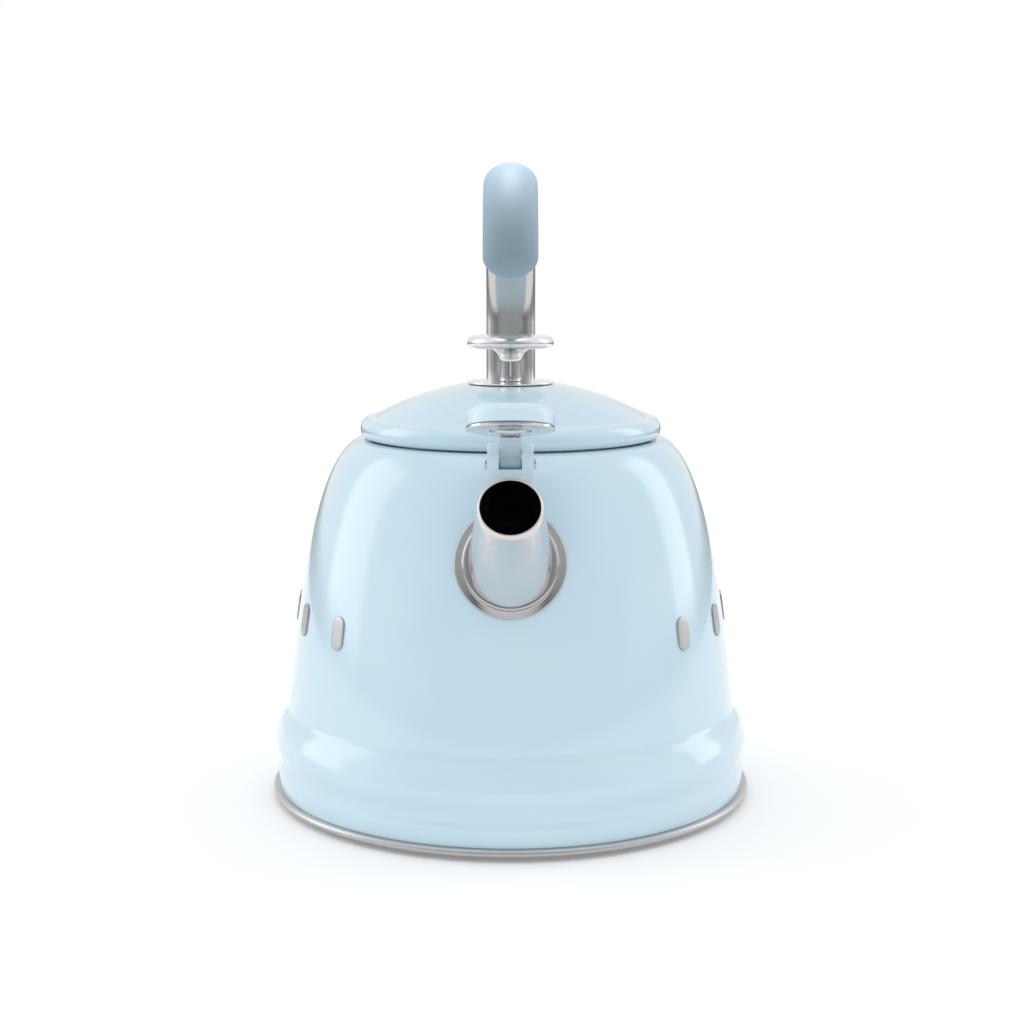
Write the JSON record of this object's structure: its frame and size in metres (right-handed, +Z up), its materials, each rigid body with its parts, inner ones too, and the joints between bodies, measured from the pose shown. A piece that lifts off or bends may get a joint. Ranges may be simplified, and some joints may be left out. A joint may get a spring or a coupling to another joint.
{
  "type": "stovetop whistling kettle",
  "caption": "Bell-shaped enamelled stovetop kettle with a lift-off lid, a spout with a flip-up whistle, a one-sided arched handle and a flat induction base.",
  "frame": {"origin": "centre of the flat underside of the base", "axes": "+Z up, spout towards -Y, handle rises from +Y, +X to the right seen from the spout side"},
  "size_m": [0.176, 0.2207, 0.2285],
  "materials": {
    "enamel": "glossy vitreous enamel",
    "polished_steel": "mirror polished stainless steel",
    "brushed_steel": "brushed",
    "core_aluminium": "raw",
    "blue_plastic": "satin gloss",
    "grip_plastic": "matte soft-touch",
    "silicone": "matte"
  },
  "bodies": {
    "kettle": {"body_shell": "enamel", "bottom_pan": "polished_steel", "heat_core": "core_aluminium", "induction_plate": "brushed_steel", "spout_tube": "polished_steel", "spout_collar": "polished_steel", "whistle_bracket": "blue_plastic", "bracket_rivet": "polished_steel", "hinge_pin": "polished_steel", "handle_tube": "polished_steel", "handle_foot": "polished_steel", "handle_rivet_upper": "polished_steel", "handle_rivet_lower": "polished_steel", "handle_grip": "grip_plastic", "grip_screw": "polished_steel", "side_mark_right_1": "brushed_steel", "side_mark_right_2": "brushed_steel", "side_mark_right_3": "brushed_steel", "side_mark_right_4": "brushed_steel", "side_mark_left_1": "brushed_steel", "side_mark_left_2": "brushed_steel", "side_mark_left_3": "brushed_steel", "side_mark_left_4": "brushed_steel"},
    "lid": {"lid_shell": "enamel", "lid_skirt": "polished_steel", "lid_seal": "silicone", "knob_rosette": "polished_steel", "knob_collar": "polished_steel", "knob_stem": "polished_steel", "knob_disc": "polished_steel", "knob_washer": "brushed_steel", "knob_screw": "brushed_steel"},
    "whistle": {"whistle_cap": "blue_plastic", "whistle_arm": "blue_plastic", "whistle_plate": "polished_steel", "whistle_insert": "brushed_steel", "whistle_back_disc": "brushed_steel"}
  },
  "joints": [
    {"name": "lid_lift", "type": "slide", "parent": "kettle", "child": "lid", "axis": [0, 0, 1], "range_m": [0, 0.036]},
    {"name": "whistle_flip", "type": "hinge", "parent": "kettle", "child": "whistle", "pos_m": [0, -0.08712, 0.13182], "axis": [1, 0, 0], "range_deg": [0, 67.6]}
  ]
}
